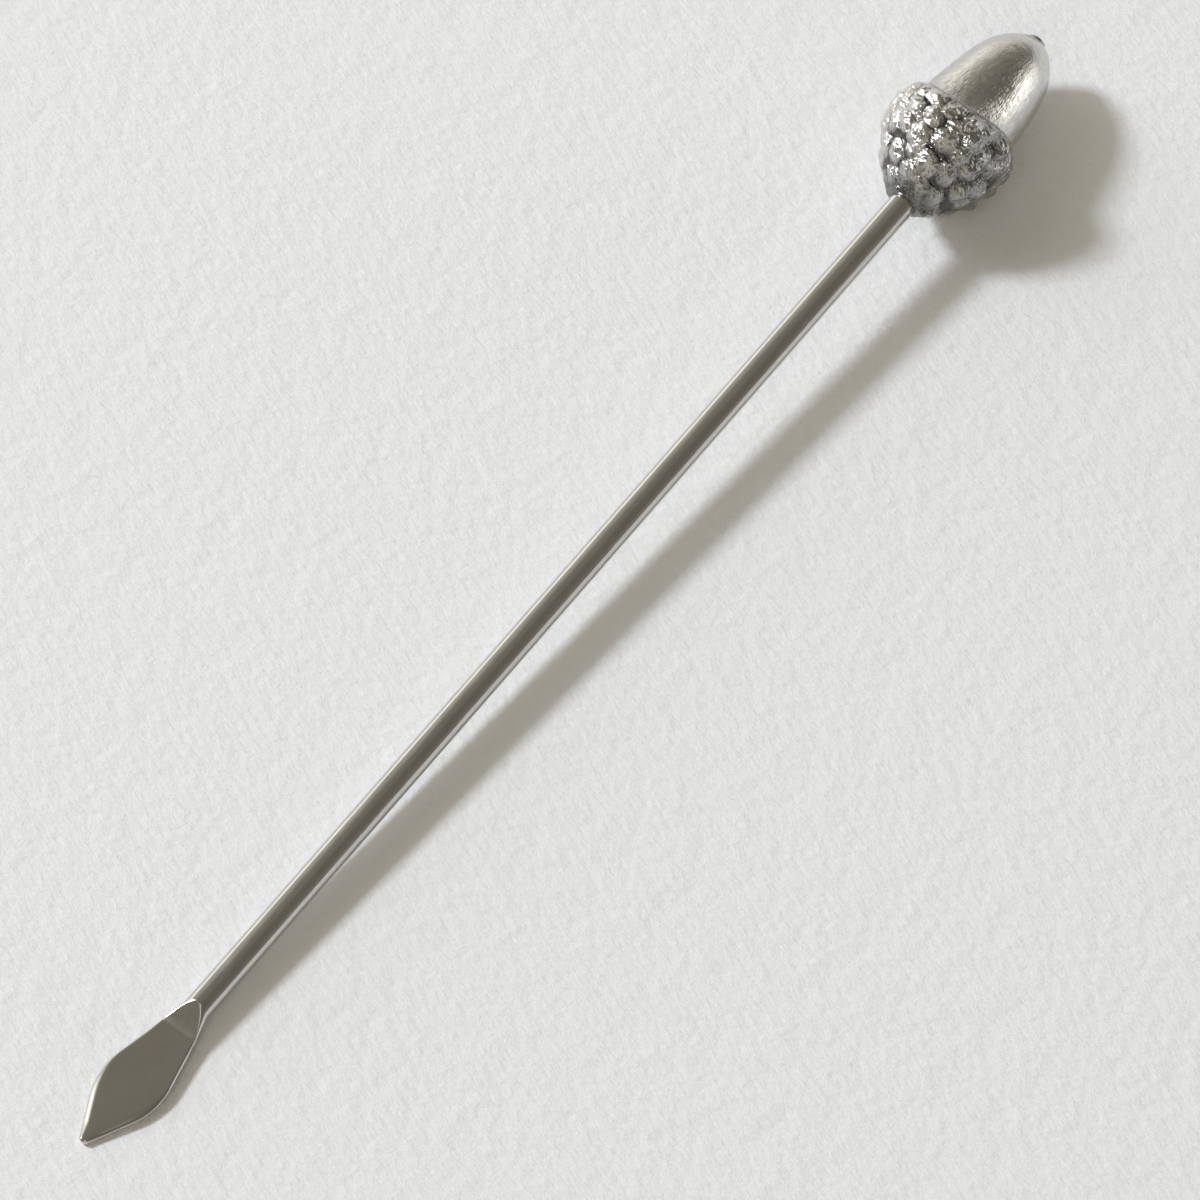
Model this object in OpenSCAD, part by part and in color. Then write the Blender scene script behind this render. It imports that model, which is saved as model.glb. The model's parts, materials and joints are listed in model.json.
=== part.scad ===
// Cocktail pick: a straight round steel rod, forged flat at one end into a small leaf-shaped
// blade, with a pewter acorn cast on the other end. All sizes are in millimetres.
// The pick is drawn as it comes to rest on a table: the table is the plane z = 0, the blade's
// tip and the lowest knobs of the acorn's cap touch it, and the acorn lies towards +X.

/* [Rod] */
// Diameter of the round steel rod
rod_d = 1.8; // [1.5:0.1:2.4]
// Length from the blade's tip to the mouth of the acorn's cap
shaft_len = 83; // [60:1:110]
// Depth of the rod's end inside the acorn
socket_depth = 9; // [5:0.5:10]
// Radial play left between the rod and its socket
socket_gap = 0.01; // [0:0.01:0.05]

/* [Blade] */
// Width of the blade across its shoulders
blade_w = 4.4; // [3.4:0.1:6]
// Thickness of the flattened blade
blade_t = 0.5; // [0.4:0.05:0.7]
// How far the flat of the blade lies below the rod's axis
blade_drop = 0.2; // [0:0.05:0.3]
// Angle between the two front edges, which meet at the tip
tip_angle = 53; // [40:1:70]
// Angle between the two back edges, which run into the rod
back_angle = 26; // [16:1:40]
// Radius of the rounded shoulders
shoulder_r = 5; // [2:0.5:6]
// Width of the blunt tip
tip_w = 0.5; // [0.4:0.1:1]
// Width over which the front edges round off
front_bevel = 0.5; // [0.2:0.1:1.2]
// Width over which the back edges round off
back_bevel = 0.3; // [0.2:0.1:0.8]
// Length of the ramp on which the flat of the blade climbs to the top of the round rod
neck_len = 2; // [1:0.1:3]

/* [Acorn cap] */
// Largest diameter of the cap, over its knobs
cap_d = 9.1; // [8:0.1:11]
// Length of the cap, from its mouth round the rod to its lip
cap_len = 7.1; // [6:0.1:10]
// Thickness of metal round the rod at the cap's mouth
collar_wall = 0.3; // [0.2:0.05:0.8]
// Place of the cap's widest ring, as a share of its length
cap_crown = 0.75; // [0.6:0.01:0.85]
// How far the lip runs forward at the sides and back above and below
lip_wave = 0.5; // [0:0.05:0.8]
// Height of the cast seam that runs along both sides of the cap
seam_h = 0.16; // [0:0.02:0.3]

/* [Knobs on the cap] */
// Distance between neighbouring knobs
knob_pitch = 1.5; // [1.2:0.1:2.4]
// Height of the largest knobs above the grooves between them
knob_h = 0.55; // [0.1:0.05:0.8]
// How much further a knob reaches along its ridge than across it
knob_long = 1.35; // [1:0.05:2]
// Greatest angle between a knob's ridge and the rod
knob_lean = 50; // [0:5:80]
// How far a knob strays from its even place, as a share of the pitch
knob_stray = 0.45; // [0:0.05:0.6]
// Turn of all the knobs about the rod, which settles the knobs that the pick rests on
knob_turn = 37; // [0:1:60]

/* [Acorn nut] */
// Diameter of the nut where it leaves the cap
nut_d = 6.9; // [5:0.1:7.2]
// Length of the nut beyond the cap's lip
nut_len = 8.2; // [6:0.1:10]
// Share of its radius that the nut loses on the way to its end
nut_taper = 0.23; // [0:0.01:0.5]
// Diameter of the round stub left where the metal was poured in
nub_d = 1.3; // [0.8:0.1:2]
// Height of that stub
nub_h = 0.2; // [0.1:0.05:0.5]

/* [Set of the acorn on the rod] */
// How far the cap's crown stands to one side of the rod's axis
acorn_side = 0.56; // [0:0.02:0.6]
// How much further the nut's end stands to that side
nut_side = 0.32; // [0:0.02:0.5]
// How far the nut's end hangs below the rod's axis
nut_drop = 1.4; // [0:0.1:1.6]

/* [Hidden] */

$fn = 64;

rod_r = rod_d / 2;
half_w = blade_w / 2;
half_t = blade_t / 2;
front_slope = tip_angle / 2;
back_slope = back_angle / 2;

// The blade's outline: a straight front edge, a shoulder arc and a straight back edge, each
// tangent to the next. Distances run from the tip along the rod.
shoulder_base = half_w - shoulder_r;
front_edge_top = shoulder_base + shoulder_r * cos(front_slope);
back_edge_top = shoulder_base + shoulder_r * cos(back_slope);
shoulder_x = shoulder_r * sin(front_slope) + (front_edge_top - tip_w / 2) / tan(front_slope);
front_end = shoulder_x - shoulder_r * sin(front_slope);
back_start = shoulder_x + shoulder_r * sin(back_slope);
// The neck ends a hair inside the rod, so that the round rod closes over it
neck_tuck = 0.02;
neck_r = rod_r - neck_tuck;
rod_start = back_start + (back_edge_top - neck_r) / tan(back_slope);
neck_start = rod_start - neck_len;
// How late the ramp turns steep
neck_power = 1.4;
// Share of the blade's thickness that its rounded edges take, and share that the tip loses
edge_share = 0.95;
tip_share = 0.8;
tip_r = tip_share * half_t;
// Distance before the rod, in lengths of the neck, over which the edges grow as round as the rod
edge_growth = 1.5;

front_steps = 3;
shoulder_steps = 10;
back_steps = 5;
neck_steps = 16;
round_steps = 3;
corner_steps = 8;

cap_r = cap_d / 2 - knob_h;
collar_r = rod_r + collar_wall;
nut_r = nut_d / 2;
nub_r = nub_d / 2;
mouth_x = shaft_len;
rod_end = mouth_x + socket_depth;

acorn_sides = 84;
crown_rings = 24;
lip_rings = 7;
nut_rings = 10;
nub_rings = 2;
// Shape of the lip's rounding, of the nut's blunt end and of the stub's sides
lip_power = 2.6;
nut_power = 4.8;
nut_round = 1.2;
nub_taper = 0.25;
// Distance from the mouth at which the acorn's middle line starts to leave the rod's axis
bend_start = 3;

// Rows of knobs: how closely they are packed, and how far the first row lies from the mouth
// and the last row from the lip, in steps between rows
row_packing = 1.15;
row_first = 0.55;
row_last = 0.7;
fewest_in_row = 5;
// The lowest knob as a share of the tallest, and the least and greatest reach of a knob's
// sides as shares of the pitch
knob_least = 0.6;
reach_least = 0.58;
reach_most = 0.7;
// Radius that rounds the ridge along a knob
ridge_soft = 0.12;
// Share of the cap's length over which the knobs grow from the mouth, and how late the knobs
// and the seam fade towards the lip
grow_share = 0.2;
knob_fade = 10;
seam_fade = 6;
// Width of the seam, and how much taller it stands at the mouth than along the cap
seam_w = 0.3;
flash_gain = 1.6;
flash_len = 0.5;

// The numbers that each knob is given: its turn, its place along the cap, its lean, its height
// and its reach
turn_draw = 0;
place_draw = 1;
lean_draw = 2;
height_draw = 3;
reach_draw = 4;
knob_seed = 7;
chance_mix = [127.1, 311.7, 269.5, 74.7];
chance_spread = 43758.5453;

// General helpers

function clamp01(t) = min(max(t, 0), 1);
function ease(t) = let (c = clamp01(t)) c * c * (3 - 2 * c);
function blend(a, b, t) = a + (b - a) * t;
// A fixed number from 0 to 1 that looks random, for knob k of row j
function chance(j, k, draw) =
    let (s = sin([j, k, draw, knob_seed] * chance_mix) * chance_spread) s - floor(s);

// Triangles that join rings of points into one closed skin, with a cap on each end
function ring_skin(rings) =
    let (n = len(rings[0]), m = len(rings))
    concat(
        [for (i = [0:m - 2], k = [0:n - 1])
            let (a = i * n + k, b = i * n + (k + 1) % n, c = a + n, d = b + n)
            each [[a, c, b], [b, c, d]]],
        [[for (k = [0:n - 1]) k]],
        [[for (k = [n - 1:-1:0]) (m - 1) * n + k]]);

module skin(rings) {
    polyhedron(points = [for (r = rings) each r], faces = ring_skin(rings), convexity = 6);
}

// Blade

function blade_half(x) =
    x < front_end ? tip_w / 2 + x * tan(front_slope) :
    x < back_start
        ? shoulder_base + sqrt(pow(shoulder_r, 2) - pow(x - shoulder_x, 2)) :
    max(neck_r, neck_r + (rod_start - x) * tan(back_slope));

// How far the flat has climbed to the top of the rod, and how far the edges have grown as round
// as the rod, both from 0 to 1
function neck_rise(x) = pow(clamp01((x - neck_start) / neck_len), neck_power);
function edge_grown(x) = ease(1 - (rod_start - x) / (edge_growth * neck_len));

// Width over which the edge rounds off: broad in front, narrow behind, and the whole half width
// where the blade turns into the rod
function edge_run(x) =
    blend(
        blend(front_bevel, back_bevel, ease((x - front_end) / (back_start - front_end))),
        rod_r,
        edge_grown(x));

// A section across the blade at distance x from the tip. Its flats cut off the tops of its round
// edges, so at the neck each flat ends in a tongue on the round of the rod.
function section(x, half_y, thin = 1) =
    let (
        run = min(edge_run(x), half_y - neck_tuck),
        level = -blade_drop * (1 - neck_rise(x)),
        flat_z = thin * blend(half_t, neck_r, neck_rise(x)),
        crest_z = thin * blend(half_t, neck_r, edge_grown(x)))
    [for (q = [0:3], s = [0:corner_steps])
        let (
            sy = q == 0 || q == 3 ? 1 : -1,
            sz = q < 2 ? 1 : -1,
            a = 90 * (q + s / corner_steps),
            edge_z = crest_z * (1 - edge_share + edge_share * abs(sin(a))))
        [x, sy * (half_y - run) + run * cos(a), level + sz * min(edge_z, flat_z)]];

// The tip's end is rounded like the edges: each section is inset by what the arc leaves
function tip_section(a) =
    let (x = tip_r * (1 - cos(a)), inset = tip_r * (1 - sin(a)))
    section(x, blade_half(tip_r) - inset, 1 - inset / half_t);

blade_stops = concat(
    [for (i = [1:front_steps]) blend(tip_r, front_end, i / front_steps)],
    [for (i = [1:shoulder_steps])
        shoulder_x + shoulder_r * sin(blend(-front_slope, back_slope, i / shoulder_steps))],
    [for (i = [1:back_steps]) blend(back_start, neck_start, i / back_steps)],
    [for (i = [1:neck_steps]) blend(neck_start, rod_start, i / neck_steps)]);

blade_rings = concat(
    [for (i = [0:round_steps]) tip_section(90 * i / round_steps)],
    [for (x = blade_stops) section(x, blade_half(x))],
    [section(rod_start + rod_d, neck_r)]);

// Acorn

// The smooth surface under the knobs, u running from 0 at the mouth to 1 at the lip
function cap_base_r(u) =
    u < cap_crown
        ? blend(collar_r, cap_r, sin(90 * u / cap_crown))
        : blend(nut_r, cap_r, pow(1 - pow((u - cap_crown) / (1 - cap_crown), lip_power), 1 / lip_power));
function on_cap(u, a) = let (r = cap_base_r(u)) [u * cap_len, r * cos(a), r * sin(a)];

knob_rows = round(cap_len / knob_pitch * row_packing);
function row_u(j) = (j + row_first) / (knob_rows - 1 + row_first + row_last);
function row_count(j) =
    max(fewest_in_row, round(2 * PI * (cap_base_r(row_u(j)) + knob_h / 2) / knob_pitch));

// The direction along the cap's skin, at an angle to the rod, in which a knob's ridge runs
function ridge(a, lean) = [cos(lean), -sin(lean) * sin(a), sin(lean) * cos(a)];

// Each knob: its middle on the cap, the run of its ridge, its height and the reach of its sides
knobs = [for (j = [0:knob_rows - 1], k = [0:row_count(j) - 1])
    let (
        step = 360 / row_count(j),
        a = knob_turn + step * (k + (j % 2) / 2 + knob_stray * (chance(j, k, turn_draw) - 0.5)),
        u = row_u(j) + knob_stray * (chance(j, k, place_draw) - 0.5) / knob_rows)
    [on_cap(clamp01(u), a),
        ridge(a, knob_lean * (2 * chance(j, k, lean_draw) - 1)),
        knob_h * blend(knob_least, 1, chance(j, k, height_draw)),
        knob_pitch * blend(reach_least, reach_most, chance(j, k, reach_draw))]];

// Height of one knob at an offset v from its middle: it falls straight down on both sides of
// its ridge and rounds off along it
function knob_height(q, v) =
    let (along = v * q[1], beside = norm([sqrt(max(v * v - along * along, 0)), ridge_soft]) - ridge_soft)
    q[2] * (1 - beside / q[3] - pow(along / (q[3] * knob_long), 2));

// Height of the knobs at a point of the cap: the tallest one there, so that they meet in grooves
function knob_rise(p) = max([for (q = knobs) knob_height(q, p - q[0])]);

// The seam, a low ridge on both sides, with a taller scrap of flash at the mouth on one side
function seam_rise(u, r, a) =
    let (side = min(a, 360 - a), far = abs(180 - a), off = min(side, far) * PI / 180 * r)
    seam_h * exp(-pow(off / seam_w, 2)) * (1 + (far < 90 ? flash_gain * exp(-u * cap_len / flash_len) : 0));

function cap_point(u, a) =
    let (
        r = cap_base_r(u),
        cover = ease(u / grow_share) * (1 - pow(u, knob_fade)),
        rise = cover * max(0, knob_rise(on_cap(u, a))) + seam_rise(u, r, a) * (1 - pow(u, seam_fade)))
    [u * (cap_len + pow(u, 3) * lip_wave * cos(2 * a)), r + rise, a];

function nut_point(g, a) =
    let (
        lip_x = cap_len + lip_wave * cos(2 * a),
        side_r = nut_r * (1 - nut_taper * g),
        fullness = pow(1 - pow(g, nut_power), 1 / nut_round))
    [blend(lip_x, cap_len + nut_len, g), blend(nub_r, side_r, fullness), a];

function nub_point(t, a) =
    [cap_len + nut_len + nub_h * sin(90 * t), nub_r * (1 - nub_taper * t * t), a];

// How far along its bend the acorn's middle line is, from 0 where it starts to 1 at the end
function bend(x) = max(0, (x - bend_start) / (cap_len + nut_len + nub_h - bend_start));

// From length, radius and angle to a point beside the rod's axis
function acorn_place(q) =
    let (side = acorn_side * ease(q[0] / (cap_len * cap_crown)) + nut_side * bend(q[0]))
    [mouth_x + q[0], side + q[1] * cos(q[2]), q[1] * sin(q[2]) - nut_drop * bend(q[0])];

acorn_angles = [for (k = [0:acorn_sides - 1]) 360 * k / acorn_sides];
cap_stops = concat(
    [for (i = [0:crown_rings]) cap_crown * i / crown_rings],
    [for (i = [1:lip_rings]) blend(cap_crown, 1, sin(90 * i / lip_rings))]);
nut_stops = [for (i = [1:nut_rings]) sin(90 * i / nut_rings)];

acorn_rings = concat(
    [for (u = cap_stops) [for (a = acorn_angles) acorn_place(cap_point(u, a))]],
    [for (g = nut_stops) [for (a = acorn_angles) acorn_place(nut_point(g, a))]],
    [for (i = [1:nub_rings]) [for (a = acorn_angles) acorn_place(nub_point(i / nub_rings, a))]]);

// Resting place: the pick lies on its lowest knobs and on the point of the steel that a straight
// line from them meets first, which is the blade's tip or the underside where the rod turns round

acorn_points = [for (r = acorn_rings) each r];
feet = [[tip_r, -half_t - blade_drop], [rod_start, -rod_r]];
function tilt_on(foot) = max([for (p = acorn_points) atan2(foot[1] - p[2], p[0] - foot[0])]);
foot_tilts = [for (f = feet) tilt_on(f)];
rest_tilt = min(foot_tilts);
rest_foot = foot_tilts[0] < foot_tilts[1] ? feet[0] : feet[1];
function tilted(p) =
    [p[0] * cos(rest_tilt) - p[2] * sin(rest_tilt), p[1], p[0] * sin(rest_tilt) + p[2] * cos(rest_tilt)];
all_points = [for (p = concat(acorn_points, [for (r = blade_rings) each r])) tilted(p)];
function middle(i) = (min([for (p = all_points) p[i]]) + max([for (p = all_points) p[i]])) / 2;
rest_lift = -tilted([rest_foot[0], 0, rest_foot[1]])[2];

module at_rest() {
    translate([-middle(0), -middle(1), rest_lift]) rotate([0, -rest_tilt, 0]) children();
}

module along_rod(x) {
    translate([x, 0, 0]) rotate([0, 90, 0]) children();
}

module steel_pick() {
    color("lightsteelblue") at_rest() {
        skin(blade_rings);
        along_rod(rod_start) cylinder(h = rod_end - rod_start, r = rod_r);
    }
}

module pewter_acorn() {
    color("silver") at_rest() difference() {
        skin(acorn_rings);
        along_rod(mouth_x - rod_d) cylinder(h = rod_end - mouth_x + rod_d, r = rod_r + socket_gap);
    }
}

steel_pick();
pewter_acorn();
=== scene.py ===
# %% [markdown]
# # A cocktail pick with an acorn head
# The object is a straight steel rod, forged flat into a small leaf-shaped blade at one end, with an
# acorn cast in pewter on the other. The construction is finished and comes in as a fixed frame, so
# this lesson only makes surfaces: a true mirror skin for the steel, the scales of the acorn's cup,
# and the two metals. Everything is in metres, in the frame's own axes.

# %% Load the frame
import json
import math

import bpy
import numpy as np
from mathutils import Matrix, Vector


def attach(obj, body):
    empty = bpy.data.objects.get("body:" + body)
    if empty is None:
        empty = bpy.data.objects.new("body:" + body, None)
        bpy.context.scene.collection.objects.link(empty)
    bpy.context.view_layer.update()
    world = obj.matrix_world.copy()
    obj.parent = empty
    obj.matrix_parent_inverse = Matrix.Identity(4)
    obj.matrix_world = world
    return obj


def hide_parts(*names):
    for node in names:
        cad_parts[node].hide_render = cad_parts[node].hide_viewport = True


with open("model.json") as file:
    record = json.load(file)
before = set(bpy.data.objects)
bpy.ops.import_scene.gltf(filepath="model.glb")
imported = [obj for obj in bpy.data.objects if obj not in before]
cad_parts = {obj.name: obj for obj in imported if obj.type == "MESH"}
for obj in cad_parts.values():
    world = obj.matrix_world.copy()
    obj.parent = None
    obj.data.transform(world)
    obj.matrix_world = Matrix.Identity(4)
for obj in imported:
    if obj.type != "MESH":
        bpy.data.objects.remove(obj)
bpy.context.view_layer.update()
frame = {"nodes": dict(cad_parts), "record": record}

print("nodes:", sorted(frame["nodes"]))

# %% [markdown]
# ## A skin over rings
# Rod, blade and acorn are all one idea: a row of closed rings, each a little further along, joined
# by quads. A fan closes each end on a middle point, so the mesh is watertight. The rings are plain
# arrays, which keeps the rules for their shape in one place each.

# %% Helper that joins rings into a closed mesh
def ease(t):
    t = np.clip(t, 0, 1)
    return t * t * (3 - 2 * t)


def blend(a, b, t):
    return a + (b - a) * t


def skin(name, rings):
    rows, sides = rings.shape[:2]
    corner = np.arange(rows * sides).reshape(rows, sides)
    beside = np.roll(corner, -1, axis=1)
    quads = np.stack([corner[:-1], beside[:-1], beside[1:], corner[1:]], -1).reshape(-1, 4)
    start, end = rows * sides, rows * sides + 1
    fans = [(start, b, a) for a, b in zip(corner[0], beside[0])]
    fans += [(end, a, b) for a, b in zip(corner[-1], beside[-1])]
    middles = [rings[0].mean(0), rings[-1].mean(0)]
    mesh = bpy.data.meshes.new(name)
    mesh.from_pydata(np.vstack([rings.reshape(-1, 3), middles]), [], quads.tolist() + fans)
    mesh.shade_smooth()
    piece = bpy.data.objects.new(name, mesh)
    bpy.context.scene.collection.objects.link(piece)
    print(name, "has", len(mesh.polygons), "faces")
    return piece

# %% [markdown]
# ## The blade
# The smith hammers the end of the round rod flat and files it to a leaf. Its outline is a straight
# front edge, a shoulder arc and a straight back edge. It could be traced with a curve, but a formula
# for the half width keeps the three tangent to each other whatever their sizes. All distances run
# along the rod from the blade's tip.

# %% Outline of the blade
mm = 0.001
rod_r = 0.9 * mm
shaft_len = 83 * mm
socket_depth = 9 * mm
half_w = 2.2 * mm
half_t = 0.25 * mm
shoulder_r = 5 * mm
tip_half = 0.25 * mm
front_slope = math.radians(53 / 2)
back_slope = math.radians(26 / 2)
neck_len = 2 * mm
neck_r = rod_r - 0.02 * mm

shoulder_base = half_w - shoulder_r
front_top = shoulder_base + shoulder_r * math.cos(front_slope)
back_top = shoulder_base + shoulder_r * math.cos(back_slope)
shoulder_x = shoulder_r * math.sin(front_slope) + (front_top - tip_half) / math.tan(front_slope)
front_end = shoulder_x - shoulder_r * math.sin(front_slope)
back_start = shoulder_x + shoulder_r * math.sin(back_slope)
rod_start = back_start + (back_top - neck_r) / math.tan(back_slope)
neck_start = rod_start - neck_len


def half_width(x):
    arc = shoulder_base + np.sqrt(np.maximum(shoulder_r ** 2 - (x - shoulder_x) ** 2, 0))
    front = tip_half + x * math.tan(front_slope)
    back = np.maximum(rod_r, neck_r + (rod_start - x) * math.tan(back_slope))
    return np.where(x < front_end, front, np.where(x < back_start, arc, back))


print("blade length in mm:", round(rod_start / mm, 2))

# %% [markdown]
# ## Where the pick lies
# The pick rests on the table at a slight slope. Shapes are easier to write along the rod, so each
# one is drawn in the rod's own axes: x runs from the blade's tip along the rod, and z points away
# from the table. One matrix then lays it in place. It comes from the frame and not from a typed
# angle: the mount named shaft gives the rod's direction, and sits halfway between neck and acorn.

# %% The rod's own axes
mounts = {m["name"]: m for m in frame["record"]["mounts"]}
along = -Vector(mounts["shaft"]["axis"]).normalized()
across = Vector((0, 1, 0))
upward = along.cross(across)
tip = Vector(mounts["shaft"]["pos_m"]) - along * (rod_start + shaft_len) / 2
blade_top = (Vector(mounts["blade_flat"]["pos_m"]) - tip).dot(upward)
blade_drop = half_t - blade_top
lie = Matrix((along, across, upward)).transposed().to_4x4()
lie.translation = tip
print("slope of the rod in degrees:", round(math.degrees(math.asin(along.z)), 2),
      "and the flat lies below the axis by mm:", round(blade_drop / mm, 3))

# %% [markdown]
# ## Across the blade
# Across, the blade is flat above and below with a blunt round edge. The edge is broader along the
# two front sides, where the file has worn it, and finer along the back. Towards the neck it swells
# until it is as round as the rod, while the flat climbs. The flat cuts the round edges off like a
# file laid on a rod, so it ends in a pointed tongue on top of the rod, as on the real blade. A bevel
# modifier would round all edges alike, so the section is written as one formula.

# %% Section of the blade, the neck and the rod
front_edge = 0.8 * mm
back_edge = 0.3 * mm
edge_share = 0.98        # of the half width, at the most
edge_growth = 1.5        # neck lengths over which the edge swells
edge_fullness = 1.1      # height of the round edge before the flat cuts it
neck_power = 1.4         # above 1, the flat leaves the blade softly
corner_soft = 0.03 * mm
tip_round = 0.2 * mm
bow = np.linspace(0, math.pi / 2, 25)
level = np.linspace(1, 0, 9)[1:]


def edge_grown(x):
    return ease(1 - (rod_start - x) / (edge_growth * neck_len))


def edge_run(x):
    worn = blend(front_edge, back_edge, ease((x - front_end) / (back_start - front_end)))
    return np.minimum(blend(worn, rod_r, edge_grown(x)), edge_share * half_width(x))


def neck_rise(x):
    return np.clip((x - neck_start) / neck_len, 0, 1) ** neck_power


def quarter_section(x):
    """Half width and height of the section, from its edge to its middle."""
    width, run = float(half_width(x)), float(edge_run(x))
    y = np.concatenate([width - run * (1 - np.cos(bow)), (width - run) * level])
    edge_top = blend(edge_fullness * half_t, rod_r, edge_grown(x))
    round_edge = edge_top * np.concatenate([np.sin(bow), np.ones(len(level))])
    flat = blend(half_t, rod_r, neck_rise(x))
    cut = (round_edge + flat - np.sqrt((round_edge - flat) ** 2 + corner_soft ** 2)) / 2
    z = np.maximum(cut, 0) if x < rod_start else round_edge
    z[0] = 0
    shrink = math.sqrt(max(0, 1 - (1 - min(x / tip_round, 1)) ** 2))
    return y * shrink, z * shrink


def section(x):
    y, z = quarter_section(x)
    ring_y = np.concatenate([y, -y[-2::-1], -y[1:], y[-2:0:-1]])
    ring_z = np.concatenate([z, z[-2::-1], -z[1:], -z[-2:0:-1]])
    sunk = blade_drop * (1 - neck_rise(x))
    return np.stack([np.full_like(ring_y, x), ring_y, ring_z - sunk], -1)


print("points round a section:", len(section(rod_start)))

# %% [markdown]
# ## The steel in one skin
# Rod and blade are one piece of wire, so they share one skin. The rings stand close together where
# the shape turns, at the tip and on the neck, and far apart on the plain rod, which keeps the mesh
# light where nothing happens.

# %% Skin of the steel
neck_end = rod_start + 0.2 * mm
stretches = ((tip_round, front_end, 18), (front_end, back_start, 28), (back_start, neck_start, 20),
             (neck_start, neck_end, 80), (neck_end, shaft_len + socket_depth, 50))
tip_stops = tip_round * (1 - np.cos(np.linspace(0.2, math.pi / 2, 8)))
stops = np.concatenate([tip_stops] + [np.linspace(a, b, count)[1:] for a, b, count in stretches])
steel = skin("steel_rod_and_blade", np.array([section(x) for x in stops]))
steel.data.transform(lie)

# %% [markdown]
# ## The blank of the acorn
# The head is one casting. Under its scales lies a smooth turned form: the cup swells from the mouth
# round the rod to its widest ring, rounds over at the lip, and the nut runs on to the small stub
# where the metal was poured in. The lip runs forward at the sides and back above and below. The nut
# leans down and to one side, so the rings are shifted more and more along the way.

# %% Sizes of the acorn
cap_r = 4.0 * mm
collar_r = rod_r + 0.3 * mm
bore_r = rod_r + 0.01 * mm
cap_len = 7.1 * mm
cap_crown = 0.75         # where the cup is widest, as a share of its length
cap_roundness = 2.6      # 2 would be an ellipse
lip_wave = 0.5 * mm
nut_r = 3.45 * mm
nut_len = 8.2 * mm
nut_taper = 0.23
nut_power = 4.8          # the higher, the fuller the nut before its end
nut_shoulder = 1.2       # the higher, the rounder that end
nub_r = 0.65 * mm
nub_h = 0.2 * mm
nub_taper = 0.25
acorn_side = 0.56 * mm
nut_side = 0.32 * mm
nut_drop = 1.4 * mm
bend_start = 3 * mm
acorn_len = cap_len + nut_len + nub_h


def cap_base_r(u):
    swell = blend(collar_r, cap_r, np.sin(math.pi / 2 * np.clip(u / cap_crown, 0, 1)))
    fall = np.clip((u - cap_crown) / (1 - cap_crown), 0, 1)
    over_lip = blend(nut_r, cap_r, (1 - fall ** cap_roundness) ** (1 / cap_roundness))
    return np.where(u < cap_crown, swell, over_lip)


print("length of the acorn in mm:", round(acorn_len / mm, 2))

# %% [markdown]
# ## What each point remembers
# Only the blank is made from rings. Each of its points also remembers a few things for the next
# steps: which way is out, where it lay before the lip was waved and the nut was bent, how much of
# the scales and of the fine relief it takes, how high the casting's seam stands there, and how far
# it is past the lip. A mesh keeps such values as attributes, which node trees and materials read.

# %% One ring of the acorn
acorn_sides = 420
turn = np.linspace(0, 2 * math.pi, acorn_sides, endpoint=False)
cos_turn, sin_turn = np.cos(turn), np.sin(turn)
rows = {"place": [], "plain": [], "outward": [], "cover": [], "fine": [], "seam": [], "past_lip": []}


def acorn_row(x, r, plain_x=0.0, cover=0.0, fine=0.0, seam=0.0, past_lip=-1.0, bent=True):
    x = np.broadcast_to(x, turn.shape)
    bend = bent * np.maximum(0, (x - bend_start) / (acorn_len - bend_start))
    side = bent * acorn_side * ease(x / (cap_len * cap_crown)) + nut_side * bend
    place = np.stack([shaft_len + x, side + r * cos_turn, r * sin_turn - nut_drop * bend], -1)
    plain = np.stack([np.full_like(turn, plain_x), r * cos_turn, r * sin_turn], -1)
    outward = np.stack([0 * turn, cos_turn, sin_turn], -1)
    rows["place"].append(place)
    rows["plain"].append(plain)
    rows["outward"].append(outward)
    for name, value in (("cover", cover), ("fine", fine), ("seam", seam), ("past_lip", past_lip)):
        rows[name].append(np.broadcast_to(value, turn.shape))


print("points round the acorn:", len(turn))

# %% [markdown]
# ## Round the acorn from the bore to the stub
# The rings follow the metal's surface from the bottom of the bore, out over the mouth, along the
# cup, round the lip, down the nut and over the stub. The seam is where the two halves of the mould
# met: a low ridge along both sides of the cup, with some flash by the mouth on one of them.

# %% Rings of the cup
seam_h = 0.16 * mm
seam_half = 0.3 * mm
flash_growth = 1.6
flash_run = 0.5 * mm
cover_from, cover_power = 0.2, 18
fine_from, fine_power = 0.06, 30
seam_turn = np.minimum(np.minimum(turn, 2 * math.pi - turn), np.abs(math.pi - turn))
flash_side = np.abs(math.pi - turn) < math.pi / 2

for x in (socket_depth, 0):
    acorn_row(x, bore_r, bent=False)
for r in np.linspace(bore_r, collar_r, 4)[1:-1]:
    acorn_row(0.0, r)
lip_curve = cap_crown + (1 - cap_crown) * np.sin(np.linspace(0, math.pi / 2, 40))[1:]
for u in np.concatenate([np.linspace(0, cap_crown, 130), lip_curve]):
    r = float(cap_base_r(u))
    flash = 1 + flash_growth * flash_side * math.exp(-u * cap_len / flash_run)
    seam = seam_h * np.exp(-(seam_turn * r / seam_half) ** 2) * (1 - u ** 6) * flash
    acorn_row(u * (cap_len + u ** 3 * lip_wave * np.cos(2 * turn)), r, u * cap_len,
              ease(u / cover_from) * (1 - u ** cover_power), ease(u / fine_from) * (1 - u ** fine_power),
              seam, u * cap_len - cap_len)
print("rings up to the lip:", len(rows["place"]))

# %% [markdown]
# ## The nut and its stub
# The nut is a full, slightly tapered form that closes in a small shoulder, and the stub on it is
# what was left when the pouring channel was snapped off. Beside the lip the nut takes a share of the
# fine relief, because the casting is uneven there.

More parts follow.
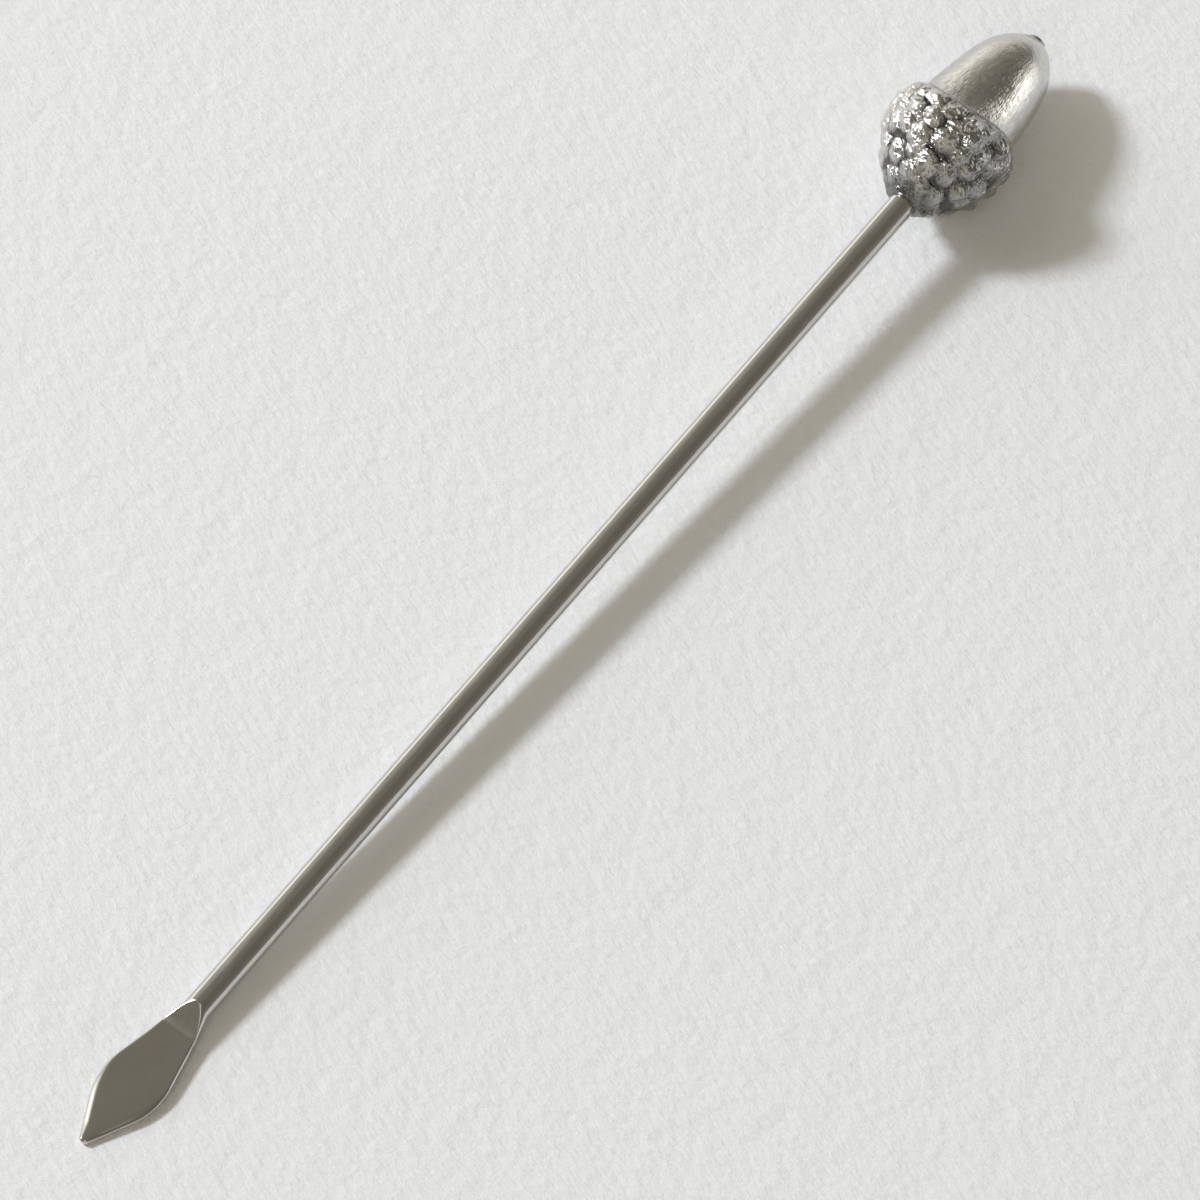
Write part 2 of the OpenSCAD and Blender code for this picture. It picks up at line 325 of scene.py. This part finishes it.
# %% Rings of the nut and the stub
ripple_share = 0.25
ripple_start = 0.2 * mm
ripple_run = 2.2 * mm
lip_x = cap_len + lip_wave * np.cos(2 * turn)
for g in np.sin(np.linspace(0, math.pi / 2, 52))[1:]:
    r = blend(nub_r, nut_r * (1 - nut_taper * g), (1 - g ** nut_power) ** (1 / nut_shoulder))
    x = blend(lip_x, cap_len + nut_len, g)
    ripple = ripple_share * ease((x - lip_x) / ripple_start) * (1 - ease((x - lip_x) / ripple_run))
    acorn_row(x, r, cap_len + g * nut_len, fine=ripple, past_lip=x - lip_x)
for t in np.linspace(0, 1, 7)[1:]:
    acorn_row(cap_len + nut_len + nub_h * math.sin(math.pi / 2 * t), nub_r * (1 - nub_taper * t * t),
              2 * cap_len, past_lip=nut_len)
rows = {name: np.array(values) for name, values in rows.items()}
acorn = skin("acorn_head", rows.pop("place"))

# %% [markdown]
# ## Attributes on the blank
# The two middle points that close the ends were added by the skin, so they get the mean of their
# ring. Vectors and single numbers are different kinds of attribute, and both are filled in one go.

# %% Write the remembered values on the mesh
def remember(mesh, name, values):
    values = np.array(values, np.float32)
    kind, part = ("FLOAT_VECTOR", "vector") if values.ndim == 2 else ("FLOAT", "value")
    mesh.attributes.new(name, kind, "POINT").data.foreach_set(part, values.ravel())


for name, values in rows.items():
    ends = np.stack([values[0].mean(0), values[-1].mean(0)])
    by_point = values.reshape(-1, 3) if values.ndim == 3 else values.ravel()
    remember(acorn.data, name, np.concatenate([by_point, ends]))
print("remembered:", sorted(rows))

# %% [markdown]
# ## Where the scales sit
# The cup's scales stand in rows, each row staggered against the last, and every scale strays a
# little, as a hand-cut pattern does. Each one has a middle on the cup, a direction for its keel, a
# height and a reach. They are kept as loose points with named values, which the node tree reads.
# The chances come from a formula with a fixed seed, so the acorn is the same on every run.

# %% Points for the scales
scale_h = 0.55 * mm
scale_pitch = 1.5 * mm
scale_stray = 0.45
scale_turn = math.radians(37)
scale_lean = math.radians(50)
scale_seed = 7
turn_draw, place_draw, lean_draw, height_draw, reach_draw = range(5)


def chance(j, k, draw):
    angle = math.radians(j * 127.1 + k * 311.7 + draw * 269.5 + scale_seed * 74.7)
    return (math.sin(angle) * 43758.5453) % 1


middles, keels, heights, reaches = [], [], [], []
scale_rows = round(cap_len / scale_pitch * 1.15)
for j in range(scale_rows):
    row_u = (j + 0.55) / (scale_rows + 0.25)
    count = max(5, round(2 * math.pi * (float(cap_base_r(row_u)) + scale_h / 2) / scale_pitch))
    for k in range(count):
        steps = k + (j % 2) / 2 + scale_stray * (chance(j, k, turn_draw) - 0.5)
        a = scale_turn + 2 * math.pi / count * steps
        u = min(max(row_u + scale_stray * (chance(j, k, place_draw) - 0.5) / scale_rows, 0), 1)
        r = float(cap_base_r(u))
        lean = scale_lean * (2 * chance(j, k, lean_draw) - 1)
        middles.append((u * cap_len, r * math.cos(a), r * math.sin(a)))
        keels.append((math.cos(lean), -math.sin(lean) * math.sin(a), math.sin(lean) * math.cos(a)))
        heights.append(scale_h * blend(0.6, 1, chance(j, k, height_draw)))
        reaches.append(scale_pitch * blend(0.58, 0.7, chance(j, k, reach_draw)))
seeds_mesh = bpy.data.meshes.new("scale_seeds")
seeds_mesh.from_pydata(middles, [], [])
for name, values in (("keel", keels), ("tall", heights), ("reach", reaches)):
    remember(seeds_mesh, name, values)
seeds = bpy.data.objects.new("scale_seeds", seeds_mesh)
print("scales:", len(middles), "in", scale_rows, "rows")

# %% [markdown]
# ## A short hand for node trees
# Geometry, materials and the sky are all node trees. By hand one would draw nodes and wires between
# them. In a script the same tree reads best as formulas, so a signal stands for what runs along a
# wire, and adding or multiplying two signals makes the math node and its wires.

# %% Helpers that wire a node tree
class Signal:
    def __init__(self, wiring, socket):
        self.wiring = wiring
        self.socket = socket

    def __add__(self, other):
        return self.wiring.math("ADD", self, other)

    def __sub__(self, other):
        return self.wiring.math("SUBTRACT", self, other)

    def __rsub__(self, other):
        return self.wiring.math("SUBTRACT", other, self)

    def __mul__(self, other):
        return self.wiring.math("MULTIPLY", self, other)

    def __truediv__(self, other):
        return self.wiring.math("DIVIDE", self, other)


class Wiring:
    def __init__(self, tree):
        self.tree = tree

    def node(self, kind, inputs=(), **settings):
        made = self.tree.nodes.new(kind)
        for key, value in settings.items():
            setattr(made, key, value)
        for key, value in dict(inputs).items():
            if isinstance(value, Signal):
                self.tree.links.new(value.socket, made.inputs[key])
            else:
                made.inputs[key].default_value = value
        return made

    def signal(self, kind, inputs=(), output=0, **settings):
        return Signal(self, self.node(kind, inputs, **settings).outputs[output])

    def math(self, operation, *values):
        return self.signal("ShaderNodeMath", enumerate(values), operation=operation)

    def vector(self, operation, *values, output=0):
        return self.signal("ShaderNodeVectorMath", enumerate(values), output, operation=operation)

    def dot(self, a, b):
        return self.vector("DOT_PRODUCT", a, b, output=1)


print("a node tree can now be written as formulas")

# %% [markdown]
# ## Raising the scales with Geometry Nodes
# The scales follow a rule, so Geometry Nodes raise them. A Repeat Zone visits the seed points one
# after the other. For each it works out a small roof over the surface, with a keel along the scale
# and sides that fall away to a groove, and keeps the higher of that roof and what stood there
# before. Seventy separate solids could be joined instead, but their overlaps would not be one skin.

# %% Inputs of the tree
scales = bpy.data.node_groups.new("Acorn scales", "GeometryNodeTree")
for name, kind in (("Blank", "Geometry"), ("Seeds", "Object"), ("Keel softness", "Float"),
                   ("Scale length", "Float"), ("Crumple size", "Float"), ("Crumple depth", "Float"),
                   ("Wrinkle size", "Float"), ("Wrinkle depth", "Float"), ("Dent depth", "Float"),
                   ("Finish", "Material")):
    scales.interface.new_socket(name, in_out="INPUT", socket_type="NodeSocket" + kind)
scales.interface.new_socket("Acorn", in_out="OUTPUT", socket_type="NodeSocketGeometry")
carving = Wiring(scales)
given = {s.name: Signal(carving, s) for s in carving.node("NodeGroupInput").outputs}


def named(name, kind="FLOAT"):
    return carving.signal("GeometryNodeInputNamedAttribute", {0: name}, data_type=kind)


print("inputs:", [name for name in given if name])

# %% [markdown]
# ## One scale after the other
# Inside the zone, a point of the cup looks at one scale at a time. The distance along the keel and
# the distance beside it give the height of that scale's roof at the point. The zone carries a single
# number round and round, the highest roof so far, so it needs no more memory than the cup itself.

# %% A roof over each scale
points = carving.signal("GeometryNodeObjectInfo", {"Object": given["Seeds"]}, "Geometry")
total = carving.signal("GeometryNodeAttributeDomainSize", {0: points}, "Point Count", component="MESH")
zone_in = carving.node("GeometryNodeRepeatInput")
zone_out = carving.node("GeometryNodeRepeatOutput")
zone_in.pair_with_output(zone_out)
zone_out.repeat_items.new("FLOAT", "Rise")
scales.links.new(total.socket, zone_in.inputs["Iterations"])
scales.links.new(given["Blank"].socket, zone_in.inputs["Geometry"])
zone_in.inputs["Rise"].default_value = -1.0
visit = Signal(carving, zone_in.outputs["Iteration"])


def of_scale(value, kind="FLOAT"):
    return carving.signal("GeometryNodeSampleIndex", {"Geometry": points, "Value": value, "Index": visit},
                          data_type=kind)


place = named("plain", "FLOAT_VECTOR")
middle = of_scale(carving.signal("GeometryNodeInputPosition"), "FLOAT_VECTOR")
offset = carving.vector("SUBTRACT", place, middle)
on_keel = carving.dot(offset, of_scale(named("keel", "FLOAT_VECTOR"), "FLOAT_VECTOR"))
soft = given["Keel softness"]
beside_keel = carving.math("SQRT", carving.dot(offset, offset) - on_keel * on_keel + soft * soft) - soft
reach = of_scale(named("reach"))
end_fall = carving.math("POWER", carving.math("ABSOLUTE", on_keel) / (reach * given["Scale length"]), 2.0)
roof = of_scale(named("tall")) * (1.0 - beside_keel / reach - end_fall)
highest = carving.math("MAXIMUM", Signal(carving, zone_in.outputs["Rise"]), roof)
scales.links.new(zone_in.outputs["Geometry"], zone_out.inputs["Geometry"])
scales.links.new(highest.socket, zone_out.inputs["Rise"])
rise = named("cover") * carving.math("MAXIMUM", Signal(carving, zone_out.outputs["Rise"]), 0.0)
print("nodes so far:", len(scales.nodes))

# %% [markdown]
# ## Crests, wrinkles and dents
# The real cup looks like foil that was crumpled and pressed on: its scales are broken up by sharp
# crests round shallow pits. The distance to the nearest point of a Voronoi pattern gives just that,
# once a slow noise has bent its straight walls. Finer wrinkles and some broad dents come on top.
# They are real relief and not a bump map, so the outline is as rough as the middle.

# %% Relief between the scales
sway_size = 0.9 * mm
dent_size = 2.4 * mm


def noise(where, size, detail, roughness=0.5, output=0):
    scale = carving.math("DIVIDE", 1.0, size)
    return carving.signal("ShaderNodeTexNoise", {"Vector": where, "Scale": scale, "Detail": detail,
                                                 "Roughness": roughness}, output)


sway = carving.vector("SUBTRACT", noise(place, sway_size, 2.0, output=1), (0.5, 0.5, 0.5))
swayed = carving.vector("ADD", place, carving.vector("MULTIPLY", sway, (sway_size, sway_size, sway_size)))


def foil(cells_per_crumple):
    """Sharp crests around shallow pits."""
    scale = carving.math("DIVIDE", cells_per_crumple, given["Crumple size"])
    pits = carving.signal("ShaderNodeTexVoronoi", {"Vector": swayed, "Scale": scale, "Randomness": 1.0},
                          "Distance")
    return pits - 0.45


crumple = given["Crumple depth"] * (foil(1.0) + foil(2.3) * 0.55)
wrinkle = given["Wrinkle depth"] * (noise(place, given["Wrinkle size"], 3.0, 0.6) * 2.0 - 1.0)
dent = given["Dent depth"] * (noise(place, dent_size, 1.0) - 0.5)
relief = rise + named("fine") * (wrinkle + crumple)
print("nodes so far:", len(scales.nodes))

# %% [markdown]
# ## Pushing the surface out
# Every point moves outwards by the sum of scales, crests, seam and dents. Two of the sums stay on
# the mesh as attributes, because the material needs them to know the grooves. The tree ends by
# making everything real and giving it its metal.

# %% End of the tree
push = relief + named("seam") + dent
kept = Signal(carving, zone_out.outputs["Geometry"])
for name, value in (("rise", rise), ("relief", relief)):
    kept = carving.signal("GeometryNodeStoreNamedAttribute",
                          {"Geometry": kept, "Name": name, "Value": value}, data_type="FLOAT")
step_out = carving.signal("ShaderNodeVectorMath", {0: named("outward", "FLOAT_VECTOR"), "Scale": push},
                          operation="SCALE")
moved = carving.signal("GeometryNodeSetPosition", {"Geometry": kept, "Offset": step_out})
solid = carving.signal("GeometryNodeRealizeInstances", {"Geometry": moved})
painted = carving.signal("GeometryNodeSetMaterial", {"Geometry": solid, "Material": given["Finish"]})
carving.node("NodeGroupOutput", {"Acorn": painted})
print("nodes in the tree:", len(scales.nodes))

# %% [markdown]
# ## A finish
# Every material here is a set of patterns in the piece's own coordinates, ending in one Principled
# shader. An image could hold such marks too, but a pattern in space has no seams and no limit of
# sharpness. This helper holds the few nodes that all three materials use.

# %% Helper for materials
class Finish(Wiring):
    def __init__(self, name):
        self.material = bpy.data.materials.new(name)
        self.material.use_nodes = True
        self.material.node_tree.nodes.clear()
        super().__init__(self.material.node_tree)
        self.here = self.signal("ShaderNodeTexCoord", output="Object")

    def stored(self, name):
        return self.signal("ShaderNodeAttribute", output="Fac", attribute_name=name)

    def axis(self, number):
        return self.signal("ShaderNodeSeparateXYZ", {0: self.here}, number)

    def stretched(self, scale, rotation):
        return self.signal("ShaderNodeMapping", {"Vector": self.here, "Rotation": rotation, "Scale": scale})

    def cloud(self, size, detail=2.0, where=None):
        return self.signal("ShaderNodeTexNoise", {"Vector": where or self.here, "Scale": 1 / size,
                                                  "Detail": detail, "Roughness": 0.6})

    def ramp(self, value, low, high, at_low=0.0, at_high=1.0):
        return self.signal("ShaderNodeMapRange", {"Value": value, "From Min": low, "From Max": high,
                                                  "To Min": at_low, "To Max": at_high})

    def mix(self, share, first, second):
        return self.signal("ShaderNodeMix", {0: share, 6: first, 7: second}, 2, data_type="RGBA")

    def bump(self, height, distance, strength):
        return self.signal("ShaderNodeBump", {"Height": height, "Distance": distance, "Strength": strength})

    def finish(self, **inputs):
        named_inputs = {name.replace("_", " ").title(): value for name, value in inputs.items()}
        shader = self.signal("ShaderNodeBsdfPrincipled", named_inputs)
        self.node("ShaderNodeOutputMaterial", {"Surface": shader})
        print(self.material.name, "has", len(self.tree.nodes), "nodes")
        return self.material

# %% [markdown]
# ## Pewter: where it is dark
# Cast pewter is a soft grey metal. The high parts of the scales are rubbed bright, and the grooves
# and pits keep a dark skin of oxide, so the colour follows the heights that the node tree stored. A
# fine dark line of painted shade runs along the lip, where the cup overhangs the nut, and the stub
# keeps some soot from the pouring. The side of the cup turned away from the key is darker with
# painted shade, and the nut has small grey stains.

# %% Masks for the pewter
pewter = Finish("cast_pewter")
rise, relief, past_lip, cover = (pewter.stored(name) for name in ("rise", "relief", "past_lip", "cover"))
on_cup = pewter.math("LESS_THAN", past_lip, 0.0)
on_nut = 1.0 - on_cup
specks = pewter.cloud(0.35 * mm, 4.0)
uneven = (specks - 0.5) * (0.16 * mm)
away_from_mouth = pewter.ramp(cover, 0.2, 0.9, 0.3, 1.0)
away_from_lip = pewter.ramp(past_lip, -0.6 * mm, -0.05 * mm, 1.0, 0.0)
in_grooves = pewter.ramp(rise + uneven, 0.05 * mm, 0.17 * mm, 1.0, 0.0) * away_from_mouth
in_pits = pewter.ramp(relief + uneven, 0.0, 0.26 * mm, 0.8, 0.0)
oxide = pewter.math("MAXIMUM", in_grooves, in_pits) * away_from_lip
from_lip_line = pewter.math("ABSOLUTE", past_lip - 0.03 * mm)
# painted shade: a thin dark line on the nut where the cup's lip overhangs it
painted_lip_shade = pewter.ramp(from_lip_line, 0.02 * mm, 0.1 * mm, 0.8, 0.0)
soot = pewter.ramp(past_lip + specks * (0.5 * mm), 8.25 * mm, 8.45 * mm, 0.0, 0.6)
# dark mixes the real oxide and soot with the painted shade along the lip
dark = pewter.math("MAXIMUM", oxide * 0.95, pewter.math("MAXIMUM", painted_lip_shade, soot))
# painted shade: the cup is darker on its side turned away from the key
shaded_side = pewter.ramp(pewter.axis(1) + pewter.cloud(1.5 * mm) * (2 * mm), -2.5 * mm, 3 * mm, 1.0, 0.0)
# the middle grey is painted shade on the cup and real grey stains on the nut
stains_and_shade = shaded_side * on_cup + pewter.ramp(specks, 0.35, 0.65, 0.1, 0.4) * on_nut
print("nodes for the masks:", len(pewter.tree.nodes))

# %% [markdown]
# ## Pewter: grain, dints and scratches
# The nut is polished, with soft dints and fine scratches, apart from a grainy patch beside the lip
# that the polishing wheel could not reach. The cup keeps the pocks and creases of the casting. They
# are smaller than the mesh can hold, so they are left to a bump.

# %% Material for the pewter
# the middle grey serves the nut's stains and the cup's painted shade; the darkest serves oxide, soot and
# the painted shade along the lip
rubbed, speck_and_shade_grey, oxide_and_shade_grey = (0.72, 0.71, 0.69, 1), (0.38, 0.378, 0.37, 1), (0.1, 0.098, 0.095, 1)
patch_reach = pewter.cloud(1.6 * mm, 3.0) * (3 * mm)
grainy = pewter.ramp(past_lip - patch_reach, -1.4 * mm, 0.6 * mm, 1.0, 0.0) * on_nut
roughness = dark * 0.06 + 0.08 + on_nut * (pewter.cloud(0.9 * mm, 3.0) * 0.1) + grainy * 0.1
sand = pewter.cloud(0.2 * mm, 4.0) * (grainy * 3.0 + 0.12)
dints = pewter.cloud(0.7 * mm, 3.0) * on_nut * 1.5
scratched = pewter.stretched(scale=(1.0, 9.0, 9.0), rotation=(0.3, 0.2, 0.6))
scratches = pewter.cloud(0.8 * mm, 2.0, scratched) * 1.2
cells = pewter.signal("ShaderNodeTexVoronoi", {"Vector": pewter.here, "Scale": 1 / (0.3 * mm)}, "Distance")
pocks = on_cup * (pewter.cloud(0.25 * mm, 3.0) * 2.4 + cells * 2.0)
cast_pewter = pewter.finish(
    base_color=pewter.mix(dark, pewter.mix(stains_and_shade, rubbed, speck_and_shade_grey), oxide_and_shade_grey), metallic=1.0,
    roughness=roughness, normal=pewter.bump(sand + dints + (scratches + pocks), 0.03 * mm, 0.8))

# %% [markdown]
# ## The finished acorn
# The modifier gets its values by the inputs' identifiers, before it is worked out for the first
# time. Its result is then kept as a plain mesh and the modifier goes, so that the acorn no longer
# depends on the tree. Laid in place, the lowest bumps are pressed level with the table.

# %% Raise the scales and keep the result as a plain mesh
dress = acorn.modifiers.new("Acorn scales", "NODES")
dress.node_group = scales
socket = {s.name: s.identifier for s in scales.interface.items_tree if s.in_out == "INPUT"}
for name, value in {"Seeds": seeds, "Keel softness": 0.03 * mm, "Scale length": 1.35,
                    "Crumple size": 0.85 * mm, "Crumple depth": 0.22 * mm,
                    "Wrinkle size": 0.3 * mm, "Wrinkle depth": 0.045 * mm, "Dent depth": 0.12 * mm,
                    "Finish": cast_pewter}.items():
    dress[socket[name]] = value
bpy.context.view_layer.update()
seen = acorn.evaluated_get(bpy.context.evaluated_depsgraph_get())
cast = bpy.data.meshes.new_from_object(seen)
acorn.modifiers.clear()
acorn.data = cast
cast.name = "acorn_head"
cast.shade_smooth()
cast.transform(lie)
corners = np.zeros(len(cast.vertices) * 3, np.float32)
cast.vertices.foreach_get("co", corners)
corners[2::3] = np.maximum(corners[2::3], 0)
cast.vertices.foreach_set("co", corners)
cast.update()
print("triangles in the acorn:", sum(len(p.vertices) - 2 for p in cast.polygons))

# %% [markdown]
# ## Polished steel
# Drawn rod keeps fine lengthwise lines even when it is polished, and it has a few small pits. The
# lines come from a noise that is stretched along the rod. They stop at the neck, because the file
# took them off the blade.

# %% Material for the steel
steel_finish = Finish("polished_steel")
lengthwise = steel_finish.stretched(scale=(0.02, 1.0, 1.0), rotation=(0, math.asin(along.z), 0))
lines = steel_finish.cloud(0.22 * mm, 3.0, lengthwise)
on_rod = steel_finish.ramp(steel_finish.axis(0), tip.x + neck_start, tip.x + rod_start + 1 * mm)
ripples = lines * on_rod * 0.25 + steel_finish.cloud(1.1 * mm) * 0.5
drawn = on_rod * steel_finish.ramp(lines, 0.35, 0.65, 0.0, 0.1)
smeared = steel_finish.cloud(0.8 * mm, 3.0) * 0.1 + 0.08
shade = steel_finish.mix(steel_finish.cloud(1.7 * mm, 3.0), (0.57, 0.56, 0.55, 1), (0.67, 0.66, 0.63, 1))
steel.data.materials.append(steel_finish.finish(
    base_color=shade, metallic=1.0, roughness=drawn + smeared,
    normal=steel_finish.bump(ripples, 0.012 * mm, 0.5)))

# %% [markdown]
# ## The table
# A sheet of pale paper, with the faintest tooth. A plane is enough, because the tooth is far finer
# than anything that touches it.

# %% Table
paper = Finish("pale_paper")
fibres = paper.stretched(scale=(1.0, 0.45, 1.0), rotation=(0, 0, math.radians(-40)))
tooth = paper.cloud(0.5 * mm, 4.0, fibres) + paper.cloud(2.6 * mm, 2.0) * 0.8
table_half = 1.6
table_mesh = bpy.data.meshes.new("table")
table_mesh.from_pydata([(-table_half, -table_half, 0), (table_half, -table_half, 0),
                        (table_half, table_half, 0), (-table_half, table_half, 0)], [], [(0, 1, 2, 3)])
table_mesh.materials.append(paper.finish(base_color=(0.86, 0.86, 0.86, 1), roughness=0.9,
                                         normal=paper.bump(tooth, 0.3 * mm, 0.5)))
table = bpy.data.objects.new("table", table_mesh)
bpy.context.scene.collection.objects.link(table)

# %% [markdown]
# ## The key light
# The key is a soft disc of light from the left of the picture, and the only thing that casts a
# sharp shadow. Its place is read from the direction and length of the shadow, and its width from
# how fast the shadow's edge softens.

# %% Key light
def towards(bearing, rise):
    """A direction whose bearing is counted from +X towards +Y. Both angles are in degrees."""
    a, e = math.radians(bearing), math.radians(rise)
    return Vector((math.cos(a) * math.cos(e), math.sin(a) * math.cos(e), math.sin(e)))


key_distance = 1.6
key_width = math.radians(11)
key_radiance = 79
out = towards(104.4, 41.4)
key = bpy.data.lights.new("key", "AREA")
key.shape = "DISK"
key.size = 2 * key_distance * math.tan(key_width / 2)
key_area = math.pi / 4 * key.size ** 2
key.energy = key_radiance * math.pi * key_area
key.color = (0.86, 0.905, 1.0)
holder = bpy.data.objects.new("key", key)
holder.rotation_mode = "QUATERNION"
holder.location = out * key_distance
holder.rotation_quaternion = out.to_track_quat("Z", "Y")
bpy.context.scene.collection.objects.link(holder)
print("key light in W:", round(key.energy, 3))

# %% [markdown]
# ## The room that the metal mirrors
# Polished metal has hardly any colour of its own: it shows the room. The room could be built from
# cards and lamps, but soft ovals painted on the sky are quicker to place, and each can be moved by
# its bearing and its rise alone. A pale warm wall stands behind the camera and fills the shadows.
# Two dark ovals over it draw the rod's dark core and the dark side of the cup. A high window beside
# the key, with a dimmer fall of light below it and a low band, draws the bright lines on rod and
# nut, and a small glow on the right lights the nut's far side.

# %% Sky with soft ovals
room = bpy.data.worlds.new("room")
room.use_nodes = True
room.node_tree.nodes.clear()
painting = Wiring(room.node_tree)
direction = painting.signal("ShaderNodeTexCoord", output="Generated")


def paint_oval(sky, bearing, rise, half_wide, half_high, soft, colour):
    out, side = towards(bearing, rise), towards(bearing + 90, 0)
    sideways = painting.dot(direction, side) / math.sin(math.radians(half_wide))
    upwards = painting.dot(direction, out.cross(side)) / math.sin(math.radians(half_high))
    from_middle = painting.math("SQRT", sideways * sideways + upwards * upwards)
    inside = painting.signal("ShaderNodeMapRange", {
        "Value": from_middle, "From Min": 1 - soft, "From Max": 1 + soft, "To Min": 1.0, "To Max": 0.0},
        interpolation_type="SMOOTHSTEP")
    facing = painting.math("GREATER_THAN", painting.dot(direction, out), 0.0)
    return painting.signal("ShaderNodeMix", {0: inside * facing, 6: sky, 7: (*colour, 1)}, 2,
                           data_type="RGBA")


wall_behind_camera = (224, 42, 34, 30, 0.4, (1.45, 1.36, 1.15))
dark_near_side = (-74, 48, 60, 27, 0.4, (0.172, 0.156, 0.13))
dark_beyond_blade = (165, 18, 30, 18, 0.4, (0.1, 0.09, 0.08))
high_window = (101, 36, 19, 25, 0.4, (1.8, 1.77, 1.62))
dim_fall = (54, 20, 22, 26, 0.8, (0.5, 0.49, 0.42))
low_band = (62, 4, 34, 11, 0.8, (1.7, 1.65, 1.5))
right_glow = (-38, 4, 15, 12, 0.5, (2.8, 2.75, 2.6))
sky = (0.22, 0.205, 0.167, 1)
for oval in (wall_behind_camera, dark_near_side, dark_beyond_blade, high_window, dim_fall, low_band,
             right_glow):
    sky = paint_oval(sky, *oval)
background = painting.signal("ShaderNodeBackground", {"Color": sky})
painting.node("ShaderNodeOutputWorld", {"Surface": background})
bpy.context.scene.world = room
bpy.context.scene.view_settings.view_transform = "Standard"
print("nodes in the sky:", len(room.node_tree.nodes))

# %% [markdown]
# ## Camera
# The camera stands 31 degrees from straight above, so far away that the rod hardly tapers. Its
# place is written as a lean, a turn and a distance from the point that it aims at, which can each be
# fitted to the picture by itself.

# %% Camera
camera_lean = math.radians(31)
camera_distance = 0.7396
picture_turn = math.radians(52.196)
aim = Vector((0.714, -1.86, 0)) * mm
right = Vector((math.cos(picture_turn), -math.sin(picture_turn), 0))
away = Vector((math.sin(picture_turn), math.cos(picture_turn), 0))
back = Vector((0, 0, 1)) * math.cos(camera_lean) - away * math.sin(camera_lean)
camera = bpy.data.cameras.new("camera")
camera.lens = 354.3
camera.sensor_width = 36
stand = bpy.data.objects.new("camera", camera)
stand.matrix_world = Matrix((right, back.cross(right), back)).transposed().to_4x4()
stand.location = aim + back * camera_distance
camera.clip_start, camera.clip_end = 0.01, 10
bpy.context.scene.collection.objects.link(stand)
bpy.context.scene.camera = stand
print("camera at:", [round(c, 3) for c in stand.location])

# %% [markdown]
# ## Handing the pieces over
# Both pieces belong to the one body and take the place of the frame's plain solids, which are hidden.
# Each already carries its own material.

# %% Hand the pieces over
for piece, node, slot in ((steel, "steel_pick", "polished_steel"), (acorn, "pewter_acorn", "cast_pewter")):
    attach(piece, "root")
    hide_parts(node)
